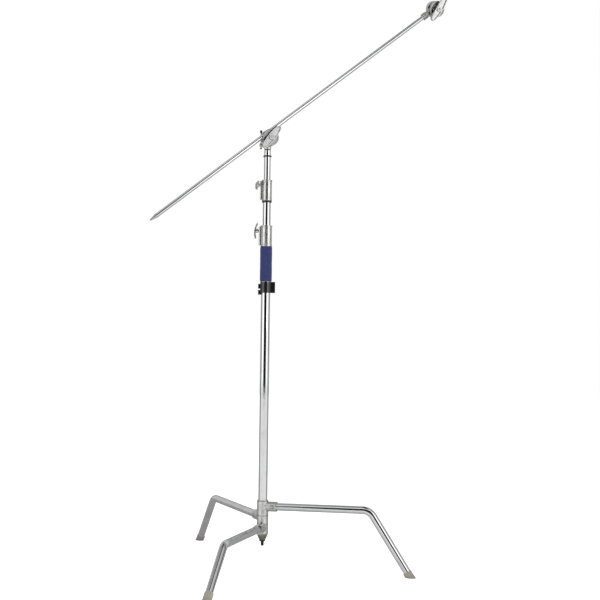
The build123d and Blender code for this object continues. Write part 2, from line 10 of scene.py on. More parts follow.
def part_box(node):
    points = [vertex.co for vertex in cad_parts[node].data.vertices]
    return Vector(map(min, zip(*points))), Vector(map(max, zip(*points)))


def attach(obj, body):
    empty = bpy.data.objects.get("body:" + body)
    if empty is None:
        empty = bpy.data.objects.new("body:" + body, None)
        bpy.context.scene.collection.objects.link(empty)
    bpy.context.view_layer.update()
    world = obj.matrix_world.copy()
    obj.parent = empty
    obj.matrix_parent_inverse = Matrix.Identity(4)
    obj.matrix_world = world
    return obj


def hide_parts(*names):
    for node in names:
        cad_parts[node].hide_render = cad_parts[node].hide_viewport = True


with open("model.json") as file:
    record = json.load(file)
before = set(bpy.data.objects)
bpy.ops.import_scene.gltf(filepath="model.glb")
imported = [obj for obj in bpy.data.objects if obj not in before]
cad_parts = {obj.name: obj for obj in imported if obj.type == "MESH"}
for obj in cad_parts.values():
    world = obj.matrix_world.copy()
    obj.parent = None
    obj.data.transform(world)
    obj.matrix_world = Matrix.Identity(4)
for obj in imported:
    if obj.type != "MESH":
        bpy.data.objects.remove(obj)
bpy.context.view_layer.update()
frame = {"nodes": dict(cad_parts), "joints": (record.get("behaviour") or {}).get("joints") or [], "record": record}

nodes = frame["nodes"]
joints = {joint["name"]: joint for joint in frame["joints"]}
print("frame loaded:", len(nodes), "nodes")


# Faces of a grid: each cell joins point (row, column) to its three neighbours; a wrapped
# direction also joins its last line to its first.
def gridFaces(rows, columns, wrapRows, wrapColumns, start=0):
    row = np.arange(rows if wrapRows else rows - 1)
    column = np.arange(columns if wrapColumns else columns - 1)
    row, column = (a.ravel() for a in np.meshgrid(row, column, indexing="ij"))
    nextRow = (row + 1) % rows
    nextColumn = (column + 1) % columns
    corners = (row * columns + column, row * columns + nextColumn,
               nextRow * columns + nextColumn, nextRow * columns + column)
    return np.stack(corners, -1) + start


# A fan from one pole point to a closed line of the grid.
def poleFaces(pole, first, count, flip):
    line = first + np.arange(count)
    following = first + (np.arange(count) + 1) % count
    order = (following, line) if flip else (line, following)
    return np.stack((np.full(count, pole),) + order, -1)


def makePiece(name, points, faces, sharpAngle=35):
    mesh = bpy.data.meshes.new(name)
    mesh.from_pydata(points.tolist(), [], [face for part in faces for face in part.tolist()])
    mesh.polygons.foreach_set("use_smooth", np.ones(len(mesh.polygons), bool))
    mesh.set_sharp_from_angle(angle=math.radians(sharpAngle))
    mesh.validate()
    piece = bpy.data.objects.new(name, mesh)
    bpy.context.scene.collection.objects.link(piece)
    return piece


# Turns every face outward.
def outwardFaces(piece):
    work = bmesh.new()
    work.from_mesh(piece.data)
    bmesh.ops.recalc_face_normals(work, faces=work.faces)
    work.to_mesh(piece.data)
    work.free()


# Two unit vectors square to an axis.
def squareTo(axis):
    axis = np.array(axis, float) / np.linalg.norm(axis)
    side = np.cross(axis, (0, 0, 1)) if abs(axis[2]) < 0.9 else np.array((1.0, 0, 0))
    side = side - axis * (side @ axis)
    side = side / np.linalg.norm(side)
    return axis, side, np.cross(axis, side)


# A ring: a closed profile of (radius, height) points goes round the axis.
def ringPiece(name, centre, axis, profile, steps=120, sharpAngle=35):
    axis, side, other = squareTo(axis)
    profile = np.array(profile, float)
    angle = np.linspace(0, 2 * np.pi, steps, endpoint=False)
    circle = np.cos(angle)[:, None] * side + np.sin(angle)[:, None] * other
    points = (np.array(centre) + profile[:, 1, None, None] * axis
              + profile[:, 0, None, None] * circle[None]).reshape(-1, 3)
    piece = makePiece(name, points, [gridFaces(len(profile), steps, True, True)], sharpAngle)
    outwardFaces(piece)
    return piece


# Adds a node, sets its plain settings, and fills its sockets with values or other sockets.
def addNode(tree, kind, sockets=None, **settings):
    added = tree.nodes.new("ShaderNode" + kind)
    for key, value in settings.items():
        setattr(added, key, value)
    for key, value in (sockets or {}).items():
        if isinstance(value, bpy.types.NodeSocket):
            tree.links.new(value, added.inputs[key])
        else:
            added.inputs[key].default_value = value
    return added


def maths(tree, operation, *values, clamp=False):
    return addNode(tree, "Math", dict(enumerate(values)), operation=operation, use_clamp=clamp).outputs[0]


def remap(tree, value, low, high, toLow, toHigh):
    sockets = {"Value": value, "From Min": low, "From Max": high, "To Min": toLow, "To Max": toHigh}
    return addNode(tree, "MapRange", sockets).outputs["Result"]


def noise(tree, vector, scale, detail=3.0, roughness=0.5, distortion=0.0):
    sockets = {"Vector": vector, "Scale": scale, "Detail": detail, "Roughness": roughness,
               "Distortion": distortion}
    return addNode(tree, "TexNoise", sockets).outputs[0]


def stretched(tree, vector, scale, rotation=(0, 0, 0)):
    return addNode(tree, "Mapping", {"Vector": vector, "Scale": scale, "Rotation": rotation}).outputs[0]


def mixColours(tree, factor, first, second, blend="MIX"):
    return addNode(tree, "Mix", {0: factor, 6: first, 7: second}, data_type="RGBA",
                   blend_type=blend).outputs[2]


def startGroup(name, inputs, outputs):
    tree = bpy.data.node_groups.new(name, "ShaderNodeTree")
    for label, value in inputs.items():
        kind = "NodeSocketVector" if value is None else "NodeSocketFloat"
        socket = tree.interface.new_socket(label, in_out="INPUT", socket_type=kind)
        if value is not None:
            socket.default_value = value
    for label in outputs:
        tree.interface.new_socket(label, in_out="OUTPUT", socket_type="NodeSocketFloat")
    start = tree.nodes.new("NodeGroupInput")
    end = tree.nodes.new("NodeGroupOutput")
    return tree, start.outputs, end.inputs


# Fine scratches from handling: two sets of long stretched noise, of which only the thin
# lines where the noise crosses its middle are kept, broken up by a broad noise.
def buildScratches():
    tree, source, result = startGroup("handlingScratches", {"Vector": None, "Scale": 1.0, "Amount": 0.5},
                                      ["Mask", "Height"])
    lines = []
    for turn, size in ((0.35, 900.0), (-0.8, 650.0)):
        long = stretched(tree, source["Vector"], (1.0, 1.0, 0.06), (turn, turn * 0.6, 0))
        value = noise(tree, long, maths(tree, "MULTIPLY", source["Scale"], size), 1.0)
        offset = maths(tree, "ABSOLUTE", maths(tree, "SUBTRACT", value, 0.5))
        lines.append(remap(tree, offset, 0.0, 0.012, 1.0, 0.0))
    both = maths(tree, "MAXIMUM", *lines)
    patches = remap(tree, noise(tree, source["Vector"], 38.0, 2.0), 0.45, 0.62, 0.0, 1.0)
    mask = maths(tree, "MULTIPLY", maths(tree, "MULTIPLY", both, patches), source["Amount"])
    tree.links.new(mask, result["Mask"])
    tree.links.new(maths(tree, "MULTIPLY", mask, -1.0), result["Height"])
    return tree


# Smudges: broad soft noise, sharpened into patches, with finer whorls inside them.
def buildSmudges():
    tree, source, result = startGroup("smudges", {"Vector": None, "Scale": 1.0, "Amount": 0.5}, ["Mask"])
    broad = noise(tree, source["Vector"], maths(tree, "MULTIPLY", source["Scale"], 24.0), 3.0, 0.6)
    fine = noise(tree, source["Vector"], maths(tree, "MULTIPLY", source["Scale"], 210.0), 2.0, 0.5, 0.8)
    patch = remap(tree, broad, 0.46, 0.66, 0.0, 1.0)
    grain = remap(tree, fine, 0.3, 0.7, 0.55, 1.0)
    mask = maths(tree, "MULTIPLY", maths(tree, "MULTIPLY", patch, grain), source["Amount"])
    tree.links.new(mask, result["Mask"])
    return tree


# Cast skin under the plate: rounded lumps from two noises, with a few small pits.
def buildCastGrain():
    tree, source, result = startGroup("castGrain", {"Vector": None, "Scale": 1.0, "Pits": 0.3},
                                      ["Height", "Tone"])
    lumps = noise(tree, source["Vector"], maths(tree, "MULTIPLY", source["Scale"], 260.0), 2.0, 0.45)
    grit = noise(tree, source["Vector"], maths(tree, "MULTIPLY", source["Scale"], 1500.0), 2.0, 0.6)
    cells = addNode(tree, "TexVoronoi", {"Vector": source["Vector"],
                                         "Scale": maths(tree, "MULTIPLY", source["Scale"], 420.0)})
    pit = remap(tree, cells.outputs["Distance"], 0.05, 0.16, 1.0, 0.0)
    rare = remap(tree, noise(tree, source["Vector"], 90.0, 1.0), 0.5, 0.62, 0.0, 1.0)
    pits = maths(tree, "MULTIPLY", maths(tree, "MULTIPLY", pit, rare), source["Pits"])
    height = maths(tree, "ADD", lumps, maths(tree, "MULTIPLY", grit, 0.25))
    tree.links.new(maths(tree, "SUBTRACT", height, pits), result["Height"])
    tree.links.new(remap(tree, noise(tree, source["Vector"], 60.0, 3.0), 0.3, 0.7, 0.0, 1.0), result["Tone"])
    return tree


# Turning lines: noise read along the distance from the local Z axis only, so that it makes
# rings, with a second coarser set.
def buildTurnedRings():
    tree, source, result = startGroup("turnedRings", {"Vector": None, "Scale": 1.0}, ["Height", "Mask"])
    parts = addNode(tree, "SeparateXYZ", {0: source["Vector"]})
    square = maths(tree, "ADD", maths(tree, "MULTIPLY", parts.outputs[0], parts.outputs[0]),
                   maths(tree, "MULTIPLY", parts.outputs[1], parts.outputs[1]))
    radius = maths(tree, "SQRT", square)
    line = addNode(tree, "CombineXYZ", {0: radius}).outputs[0]
    fine = noise(tree, line, maths(tree, "MULTIPLY", source["Scale"], 2600.0), 2.0, 0.6)
    coarse = noise(tree, line, maths(tree, "MULTIPLY", source["Scale"], 420.0), 1.0)
    height = maths(tree, "ADD", maths(tree, "MULTIPLY", fine, 0.6), maths(tree, "MULTIPLY", coarse, 0.4))
    tree.links.new(height, result["Height"])
    tree.links.new(remap(tree, height, 0.3, 0.7, 0.0, 1.0), result["Mask"])
    return tree


# Edge wear: how far the rounded normal turns from the true one, broken up by noise.
def buildEdgeWear():
    tree, source, result = startGroup("edgeWear", {"Vector": None, "Normal": None, "Rounded": None,
                                                   "Amount": 0.5}, ["Mask", "Edge"])
    same = addNode(tree, "VectorMath", {0: source["Normal"], 1: source["Rounded"]}, operation="DOT_PRODUCT")
    edge = remap(tree, same.outputs["Value"], 0.985, 0.86, 0.0, 1.0)
    rub = remap(tree, noise(tree, source["Vector"], 340.0, 3.0, 0.6), 0.36, 0.62, 0.0, 1.0)
    mask = maths(tree, "MULTIPLY", maths(tree, "MULTIPLY", edge, rub), source["Amount"])
    tree.links.new(mask, result["Mask"])
    tree.links.new(edge, result["Edge"])
    return tree


# Dust: settles where the surface faces up, in a speckled film.
def buildDust():
    tree, source, result = startGroup("dustFilm", {"Vector": None, "Upward": 0.0, "Amount": 0.3}, ["Mask"])
    film = remap(tree, noise(tree, source["Vector"], 130.0, 4.0, 0.65), 0.38, 0.72, 0.15, 1.0)
    speck = remap(tree, noise(tree, source["Vector"], 1900.0, 1.0), 0.56, 0.66, 0.4, 1.0)
    facing = remap(tree, source["Upward"], -0.1, 0.9, 0.12, 1.0)
    mask = maths(tree, "MULTIPLY", maths(tree, "MULTIPLY", film, speck), facing)
    tree.links.new(maths(tree, "MULTIPLY", mask, source["Amount"], clamp=True), result["Mask"])
    return tree


groups = {"scratches": buildScratches(), "smudges": buildSmudges(), "castGrain": buildCastGrain(),
          "rings": buildTurnedRings(), "edgeWear": buildEdgeWear(), "dust": buildDust()}
print("shader groups built:", len(groups))


def fillGroup(tree, key, sockets):
    added = tree.nodes.new("ShaderNodeGroup")
    added.node_tree = groups[key]
    for label, value in sockets.items():
        if isinstance(value, bpy.types.NodeSocket):
            tree.links.new(value, added.inputs[label])
        else:
            added.inputs[label].default_value = value
    return added


# A material starts with one Principled shader; constants are set on its own sockets.
def startMaterial(name, constants):
    material = bpy.data.materials.new(name)
    material.use_nodes = True
    tree = material.node_tree
    tree.nodes.clear()
    shader = addNode(tree, "BsdfPrincipled", constants)
    end = addNode(tree, "OutputMaterial")
    tree.links.new(shader.outputs[0], end.inputs["Surface"])
    place = addNode(tree, "TexCoord").outputs["Object"]
    return material, tree, shader, place


# Turns object coordinates so that an axis through a centre becomes the local Z axis.
def alongAxis(tree, place, centre, axis):
    turn = Vector(axis).normalized().rotation_difference(Vector((0, 0, 1)))
    moved = addNode(tree, "VectorMath", {0: place, 1: tuple(centre)}, operation="SUBTRACT").outputs[0]
    return stretched(tree, moved, (1, 1, 1), tuple(turn.to_euler()))


def bumped(tree, height, strength, distance, normal=None):
    sockets = {"Height": height, "Strength": strength, "Distance": distance}
    if normal is not None:
        sockets["Normal"] = normal
    return addNode(tree, "Bump", sockets).outputs[0]


def upward(tree):
    normal = addNode(tree, "NewGeometry").outputs["Normal"]
    return addNode(tree, "SeparateXYZ", {0: normal}).outputs[2]


tubeChrome = {"colour": (0.70, 0.705, 0.71, 1), "hazed": (0.56, 0.56, 0.555, 1), "roughness": 0.035,
              "smudge": 0.035, "scratch": 0.15, "polishLines": 0.025}


# Polished plate on a drawn tube: polishing lines run round it, with smudges and scratches.
def makeTubeChrome(name, axis):
    look = tubeChrome
    material, tree, shader, place = startMaterial(name, {"Metallic": 1.0})
    turned = alongAxis(tree, place, (0, 0, 0), axis)
    lines = noise(tree, stretched(tree, turned, (0.02, 0.02, 1.0)), 2400.0, 2.0, 0.7)
    drawn = noise(tree, stretched(tree, turned, (1.0, 1.0, 0.012)), 520.0, 2.0, 0.6)
    smudge = fillGroup(tree, "smudges", {"Vector": turned, "Amount": 1.0}).outputs["Mask"]
    scratch = fillGroup(tree, "scratches", {"Vector": turned, "Amount": 1.0})
    rough = maths(tree, "ADD", look["roughness"], maths(tree, "MULTIPLY", smudge, look["smudge"]))
    rough = maths(tree, "ADD", rough, maths(tree, "MULTIPLY", scratch.outputs["Mask"], look["scratch"]))
    rough = maths(tree, "ADD", rough, maths(tree, "MULTIPLY", lines, look["polishLines"]))
    colour = mixColours(tree, maths(tree, "MULTIPLY", smudge, 0.5), look["colour"], look["hazed"])
    tree.links.new(colour, shader.inputs["Base Color"])
    tree.links.new(rough, shader.inputs["Roughness"])
    height = maths(tree, "ADD", maths(tree, "MULTIPLY", lines, 0.4), maths(tree, "MULTIPLY", drawn, 0.6))
    height = maths(tree, "ADD", height, scratch.outputs["Height"])
    tree.links.new(bumped(tree, height, 0.25, 0.000004), shader.inputs["Normal"])
    return material


castChrome = {"recessShade": (0.09, 0.085, 0.075, 1), "grain": 0.000004,
              "colour": (0.68, 0.68, 0.675, 1), "dull": (0.54, 0.54, 0.53, 1), "worn": (0.82, 0.82, 0.82, 1),
              "roughness": 0.24, "edgeRadius": 0.0009}


# Plated casting: grainy skin, rounded edges rubbed brighter, dull tone in patches, and painted shade darkening its
# recesses and seams.
def makeCastChrome(name, look, grain=1.0):
    material, tree, shader, place = startMaterial(name, {"Metallic": 1.0})
    rounded = addNode(tree, "Bevel", {"Radius": look["edgeRadius"]}, samples=6).outputs[0]
    flat = addNode(tree, "NewGeometry").outputs["Normal"]
    skin = fillGroup(tree, "castGrain", {"Vector": place, "Scale": grain, "Pits": 0.35})
    wear = fillGroup(tree, "edgeWear", {"Vector": place, "Normal": flat, "Rounded": rounded, "Amount": 0.8})
    smudge = fillGroup(tree, "smudges", {"Vector": place, "Amount": 1.0}).outputs["Mask"]
    dust = fillGroup(tree, "dust", {"Vector": place, "Upward": upward(tree), "Amount": 0.35}).outputs["Mask"]
    colour = mixColours(tree, skin.outputs["Tone"], look["colour"], look["dull"])
    colour = mixColours(tree, wear.outputs["Mask"], colour, look["worn"])
    colour = mixColours(tree, dust, colour, (0.62, 0.6, 0.56, 1))
    # Painted shade: ambient occlusion darkens recesses and seams towards the recess shade colour.
    openness = addNode(tree, "AmbientOcclusion", {"Distance": 0.006}, samples=6).outputs["AO"]
    recessShadeMask = remap(tree, openness, 0.35, 0.85, 0.75, 0.0)
    colour = mixColours(tree, recessShadeMask, colour, look["recessShade"])
    rough = maths(tree, "ADD", look["roughness"], maths(tree, "MULTIPLY", skin.outputs["Tone"], 0.10))
    rough = maths(tree, "ADD", rough, maths(tree, "MULTIPLY", smudge, 0.14))
    rough = maths(tree, "ADD", rough, maths(tree, "MULTIPLY", dust, 0.3))
    rough = maths(tree, "SUBTRACT", rough, maths(tree, "MULTIPLY", wear.outputs["Edge"], 0.08), clamp=True)
    tree.links.new(colour, shader.inputs["Base Color"])
    tree.links.new(rough, shader.inputs["Roughness"])
    tree.links.new(bumped(tree, skin.outputs["Height"], 0.3, look["grain"], rounded), shader.inputs["Normal"])
    return material


turnedPlate = {"colour": (0.30, 0.30, 0.305, 1), "light": (0.46, 0.46, 0.46, 1), "roughness": 0.16,
               "edgeRadius": 0.0006}


# Turned disc: rings round its own axis in height, tone and roughness.
def makeTurnedPlate(name, centre, axis, look):
    material, tree, shader, place = startMaterial(name, {"Metallic": 1.0, "Anisotropic": 0.3})
    turned = alongAxis(tree, place, centre, axis)
    rounded = addNode(tree, "Bevel", {"Radius": look["edgeRadius"]}, samples=6).outputs[0]
    flat = addNode(tree, "NewGeometry").outputs["Normal"]
    rings = fillGroup(tree, "rings", {"Vector": turned})
    wear = fillGroup(tree, "edgeWear", {"Vector": place, "Normal": flat, "Rounded": rounded, "Amount": 0.9})
    smudge = fillGroup(tree, "smudges", {"Vector": place, "Scale": 1.6, "Amount": 1.0}).outputs["Mask"]
    colour = mixColours(tree, rings.outputs["Mask"], look["colour"], look["light"])
    colour = mixColours(tree, wear.outputs["Mask"], colour, (0.8, 0.8, 0.8, 1))
    rough = maths(tree, "ADD", look["roughness"], maths(tree, "MULTIPLY", rings.outputs["Mask"], 0.08))
    rough = maths(tree, "ADD", rough, maths(tree, "MULTIPLY", smudge, 0.12))
    tree.links.new(colour, shader.inputs["Base Color"])
    tree.links.new(rough, shader.inputs["Roughness"])
    tree.links.new(bumped(tree, rings.outputs["Height"], 0.5, 0.00002, rounded), shader.inputs["Normal"])
    return material


brightSteel = {"recessShade": (0.08, 0.075, 0.06, 1), "grain": 0.00003,
               "colour": (0.60, 0.60, 0.60, 1), "dull": (0.42, 0.41, 0.38, 1), "worn": (0.8, 0.8, 0.8, 1),
               "roughness": 0.24, "edgeRadius": 0.0004}
darkSteel = {"recessShade": (0.01, 0.01, 0.009, 1), "grain": 0.00005,
             "colour": (0.035, 0.038, 0.03, 1), "dull": (0.075, 0.07, 0.05, 1), "worn": (0.35, 0.34, 0.3, 1),
             "roughness": 0.34, "edgeRadius": 0.0004}
brassLook = {"recessShade": (0.1, 0.07, 0.03, 1), "grain": 0.00003,
             "colour": (0.75, 0.56, 0.26, 1), "dull": (0.5, 0.36, 0.16, 1), "worn": (0.9, 0.75, 0.42, 1),
             "roughness": 0.28, "edgeRadius": 0.0003}
blackPlastic = {"colour": (0.006, 0.006, 0.0065, 1), "scuffed": (0.035, 0.035, 0.036, 1), "roughness": 0.13}


# Glossy moulded plastic: a fine moulded skin, scuffed edges and a little dust.
def makeBlackPlastic(name):
    look = blackPlastic
    material, tree, shader, place = startMaterial(name, {"IOR": 1.53, "Coat Roughness": 0.06})
    rounded = addNode(tree, "Bevel", {"Radius": 0.0008}, samples=6).outputs[0]
    flat = addNode(tree, "NewGeometry").outputs["Normal"]
    wear = fillGroup(tree, "edgeWear", {"Vector": place, "Normal": flat, "Rounded": rounded, "Amount": 0.5})
    dust = fillGroup(tree, "dust", {"Vector": place, "Upward": upward(tree), "Amount": 0.22}).outputs["Mask"]
    scratch = fillGroup(tree, "scratches", {"Vector": place, "Scale": 0.7, "Amount": 0.6})
    flow = noise(tree, place, 45.0, 3.0, 0.6)
    skin = noise(tree, place, 1400.0, 2.0, 0.5)
    colour = mixColours(tree, wear.outputs["Mask"], look["colour"], look["scuffed"])
    colour = mixColours(tree, dust, colour, (0.32, 0.31, 0.29, 1))
    rough = maths(tree, "ADD", look["roughness"], maths(tree, "MULTIPLY", flow, 0.09))
    rough = maths(tree, "ADD", rough, maths(tree, "MULTIPLY", scratch.outputs["Mask"], 0.25))
    rough = maths(tree, "ADD", rough, maths(tree, "MULTIPLY", dust, 0.5), clamp=True)
    tree.links.new(colour, shader.inputs["Base Color"])
    tree.links.new(rough, shader.inputs["Roughness"])
    tree.links.new(remap(tree, flow, 0.0, 1.0, 0.35, 0.6), shader.inputs["Coat Weight"])
    tree.links.new(bumped(tree, skin, 0.12, 0.00003, rounded), shader.inputs["Normal"])
    return material


foamLook = {"colour": (0.030, 0.042, 0.165, 1), "poreShade": (0.014, 0.02, 0.085, 1),
            "pale": (0.055, 0.072, 0.21, 1), "cellsPerMetre": 1500.0}


# Closed-cell foam: small cells whose mouths are darkened with painted shade, mottled blue, soft sheen.
def makeFoam(name):
    look = foamLook
    material, tree, shader, place = startMaterial(name, {"Sheen Weight": 0.35, "Sheen Roughness": 0.45,
                                                         "Specular IOR Level": 0.28, "IOR": 1.45})
    cells = addNode(tree, "TexVoronoi", {"Vector": place, "Scale": look["cellsPerMetre"], "Randomness": 1.0})
    wide = addNode(tree, "TexVoronoi", {"Vector": place, "Scale": look["cellsPerMetre"] * 0.42})
    cell = cells.outputs["Distance"]
    mouth = remap(tree, cell, 0.06, 0.34, 1.0, 0.0)
    openings = maths(tree, "MULTIPLY", mouth, remap(tree, wide.outputs["Distance"], 0.12, 0.4, 1.0, 0.25))
    mottle = remap(tree, noise(tree, place, 75.0, 4.0, 0.6), 0.32, 0.7, 0.0, 1.0)
    colour = mixColours(tree, maths(tree, "MULTIPLY", mottle, 0.45), look["colour"], look["pale"])
    # Painted shade: the cell mouths are darkened towards the pore shade colour.
    colour = mixColours(tree, maths(tree, "MULTIPLY", openings, 0.75), colour, look["poreShade"])
    dust = fillGroup(tree, "dust", {"Vector": place, "Upward": upward(tree), "Amount": 0.12}).outputs["Mask"]
    colour = mixColours(tree, dust, colour, (0.4, 0.4, 0.42, 1))
    tree.links.new(colour, shader.inputs["Base Color"])
    tree.links.new(remap(tree, openings, 0.0, 1.0, 0.72, 0.95), shader.inputs["Roughness"])
    height = maths(tree, "ADD", maths(tree, "MULTIPLY", cell, 0.8), maths(tree, "MULTIPLY", mottle, 0.5))
    tree.links.new(bumped(tree, height, 0.8, 0.00035), shader.inputs["Normal"])
    return material


footLook = {"colour": (0.47, 0.45, 0.39, 1), "darkerTone": (0.26, 0.245, 0.205, 1)}


# Moulded rubber: fine leathery skin, darker towards the floor and in dirty patches.
def makeFootRubber(name):
    look = footLook
    material, tree, shader, place = startMaterial(name, {"Specular IOR Level": 0.35, "IOR": 1.5})
    height = addNode(tree, "SeparateXYZ", {0: place}).outputs[2]
    skin = noise(tree, place, 900.0, 3.0, 0.6)
    broad = noise(tree, place, 110.0, 4.0, 0.6)
    ragged = maths(tree, "ADD", height, maths(tree, "MULTIPLY", broad, 0.012))
    # Darker towards the floor in a ragged band, joined with dirty patches from a broad noise.
    low = remap(tree, ragged, 0.004, 0.02, 1.0, 0.0)
    darkeningMask = maths(tree, "MAXIMUM", maths(tree, "MULTIPLY", low, 0.7), remap(tree, broad, 0.55, 0.75, 0.0, 0.5))
    dust = fillGroup(tree, "dust", {"Vector": place, "Upward": upward(tree), "Amount": 0.5}).outputs["Mask"]
    colour = mixColours(tree, darkeningMask, look["colour"], look["darkerTone"])
    colour = mixColours(tree, dust, colour, (0.55, 0.53, 0.48, 1))
    tree.links.new(colour, shader.inputs["Base Color"])
    tree.links.new(remap(tree, skin, 0.3, 0.7, 0.55, 0.8), shader.inputs["Roughness"])
    tree.links.new(bumped(tree, skin, 0.35, 0.00012), shader.inputs["Normal"])
    return material


def headAxis(jointName):
    joint = joints[jointName]
    return joint["pos_m"], joint["axis"]


# The line that a leg's level part follows, read from its tube's box.
def legAxis(node):
    low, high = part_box(node)
    x = low.x if abs(low.x) > abs(high.x) else high.x
    y = low.y if abs(low.y) > abs(high.y) else high.y
    return Vector((x, y, 0)).normalized()


armAxis = joints["arm_slide"]["axis"]
headCentre, headOut = headAxis("arm_tilt")
farCentre, farOut = headAxis("far_jaw_turn")
casting = makeCastChrome("platedCasting", castChrome)
handles = makeCastChrome("platedHandle", dict(castChrome, roughness=0.18), 0.7)
steel = makeCastChrome("brightSteel", brightSteel, 1.6)
plainCasting = dict(castChrome, colour=(0.34, 0.34, 0.30, 1), dull=(0.2, 0.2, 0.175, 1), roughness=0.3)
plain = makeCastChrome("plainCasting", plainCasting)
blackened = makeCastChrome("blackenedSteel", darkSteel, 1.4)
brass = makeCastChrome("turnedBrass", brassLook, 1.2)
plastic = makeBlackPlastic("mouldedBlack")
foam = makeFoam("blueFoam")
rubber = makeFootRubber("footRubber")
uprightTube = makeTubeChrome("uprightTubeChrome", (0, 0, 1))
headPlate = makeTurnedPlate("headPlateSteel", headCentre, headOut, turnedPlate)
farPlate = makeTurnedPlate("farPlateSteel", farCentre, farOut, turnedPlate)
slotFinish = {"tube_chrome": uprightTube, "casting_chrome": casting, "plate_steel": headPlate,
              "handle_chrome": handles, "bolt_steel": steel, "dark_steel": blackened,
              "black_plastic": plastic, "blue_foam": foam, "foot_rubber": rubber, "brass": brass}
ownFinish = {"base_plug": plain, "arm_tube": makeTubeChrome("armTubeChrome", armAxis),
             "far_jaw": farPlate, "far_washer": farPlate}
for side in ("front", "left", "right"):
    ownFinish["leg_" + side] = makeTubeChrome(side + "LegChrome", legAxis("leg_" + side))
for part in frame["record"]["subparts"]:
    node = nodes[part["node"]]
    finish = ownFinish.get(part["node"], slotFinish[part["material_slot"]])
    for place in range(len(node.material_slots)):
        node.material_slots[place].material = finish
    if not node.material_slots:
        node.data.materials.append(finish)
print("materials made:", len(bpy.data.materials))


def finishPiece(piece, material, body, replaced=None):
    piece.data.materials.append(material)
    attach(piece, body)
    if replaced:
        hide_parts(replaced)
    return piece


foamGrip = {"inset": 0.0002, "endRound": 0.0028, "waviness": 0.00014, "pinch": 0.0004, "around": 180,
            "alongSide": 120}


# A thick tube: its section is a rounded rectangle between the column and the outside, carried
# round the axis; the outside swells and sinks by a sum of slow waves and pinches at its ends.
def makeFoamGrip():
    size = foamGrip
    low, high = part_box("grip_sleeve")
    columnLow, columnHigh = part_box("column_tube")
    inner = (columnHigh.x - columnLow.x) / 2 + size["inset"]
    outer = (high.x - low.x) / 2
    corner = size["endRound"]
    quarter = np.linspace(0, np.pi / 2, 9)
    side = np.linspace(0, 1, size["alongSide"])
    bottom, top = low.z, high.z
    profile = np.concatenate((
        np.stack((np.full(len(side), inner), top + (bottom - top) * side), -1),
        np.stack((outer - corner + corner * np.sin(quarter), bottom + corner - corner * np.cos(quarter)), -1),
        np.stack((np.full(len(side), outer), bottom + corner + (top - bottom - 2 * corner) * side), -1)[1:-1],
        np.stack((outer - corner + corner * np.cos(quarter), top - corner + corner * np.sin(quarter)), -1)))
    angle = np.linspace(0, 2 * np.pi, size["around"], endpoint=False)[None]
    radius, height = profile[:, 0, None], profile[:, 1, None]
    share = (height - bottom) / (top - bottom)
    wave = (np.sin(2 * angle + 9 * share) + 0.6 * np.sin(3 * angle - 17 * share + 1)
            + 0.5 * np.sin(5 * angle + 31 * share + 2)) * size["waviness"]
    ends = np.exp(-((share - 1) / 0.05) ** 2) + np.exp(-(share / 0.05) ** 2)
    onOutside = (radius - inner) / (outer - inner)
    radius = radius + onOutside * (wave - size["waviness"] - ends * size["pinch"])
    height = height + 0 * angle
    points = np.stack((radius * np.cos(angle), radius * np.sin(angle), height), -1).reshape(-1, 3)
    faces = [gridFaces(len(profile), size["around"], True, True)[:, ::-1]]
    piece = makePiece("foam_grip", points, faces, 60)
    finishPiece(piece, foam, "base", "grip_sleeve")


makeFoamGrip()
print("foam grip made")

rubberFoot = {"wall": 0.0025, "ribs": 3, "ribDepth": 0.0007, "lip": 0.0006, "lipShare": 0.03,
              "plainShare": 0.04, "inside": 0.009, "mouthWall": 0.001, "fit": 0.0001, "cornerBand": 0.002,
              "around": 120, "along": 40}
footLegs = {"front": "base", "left": "left_leg", "right": "right_leg"}


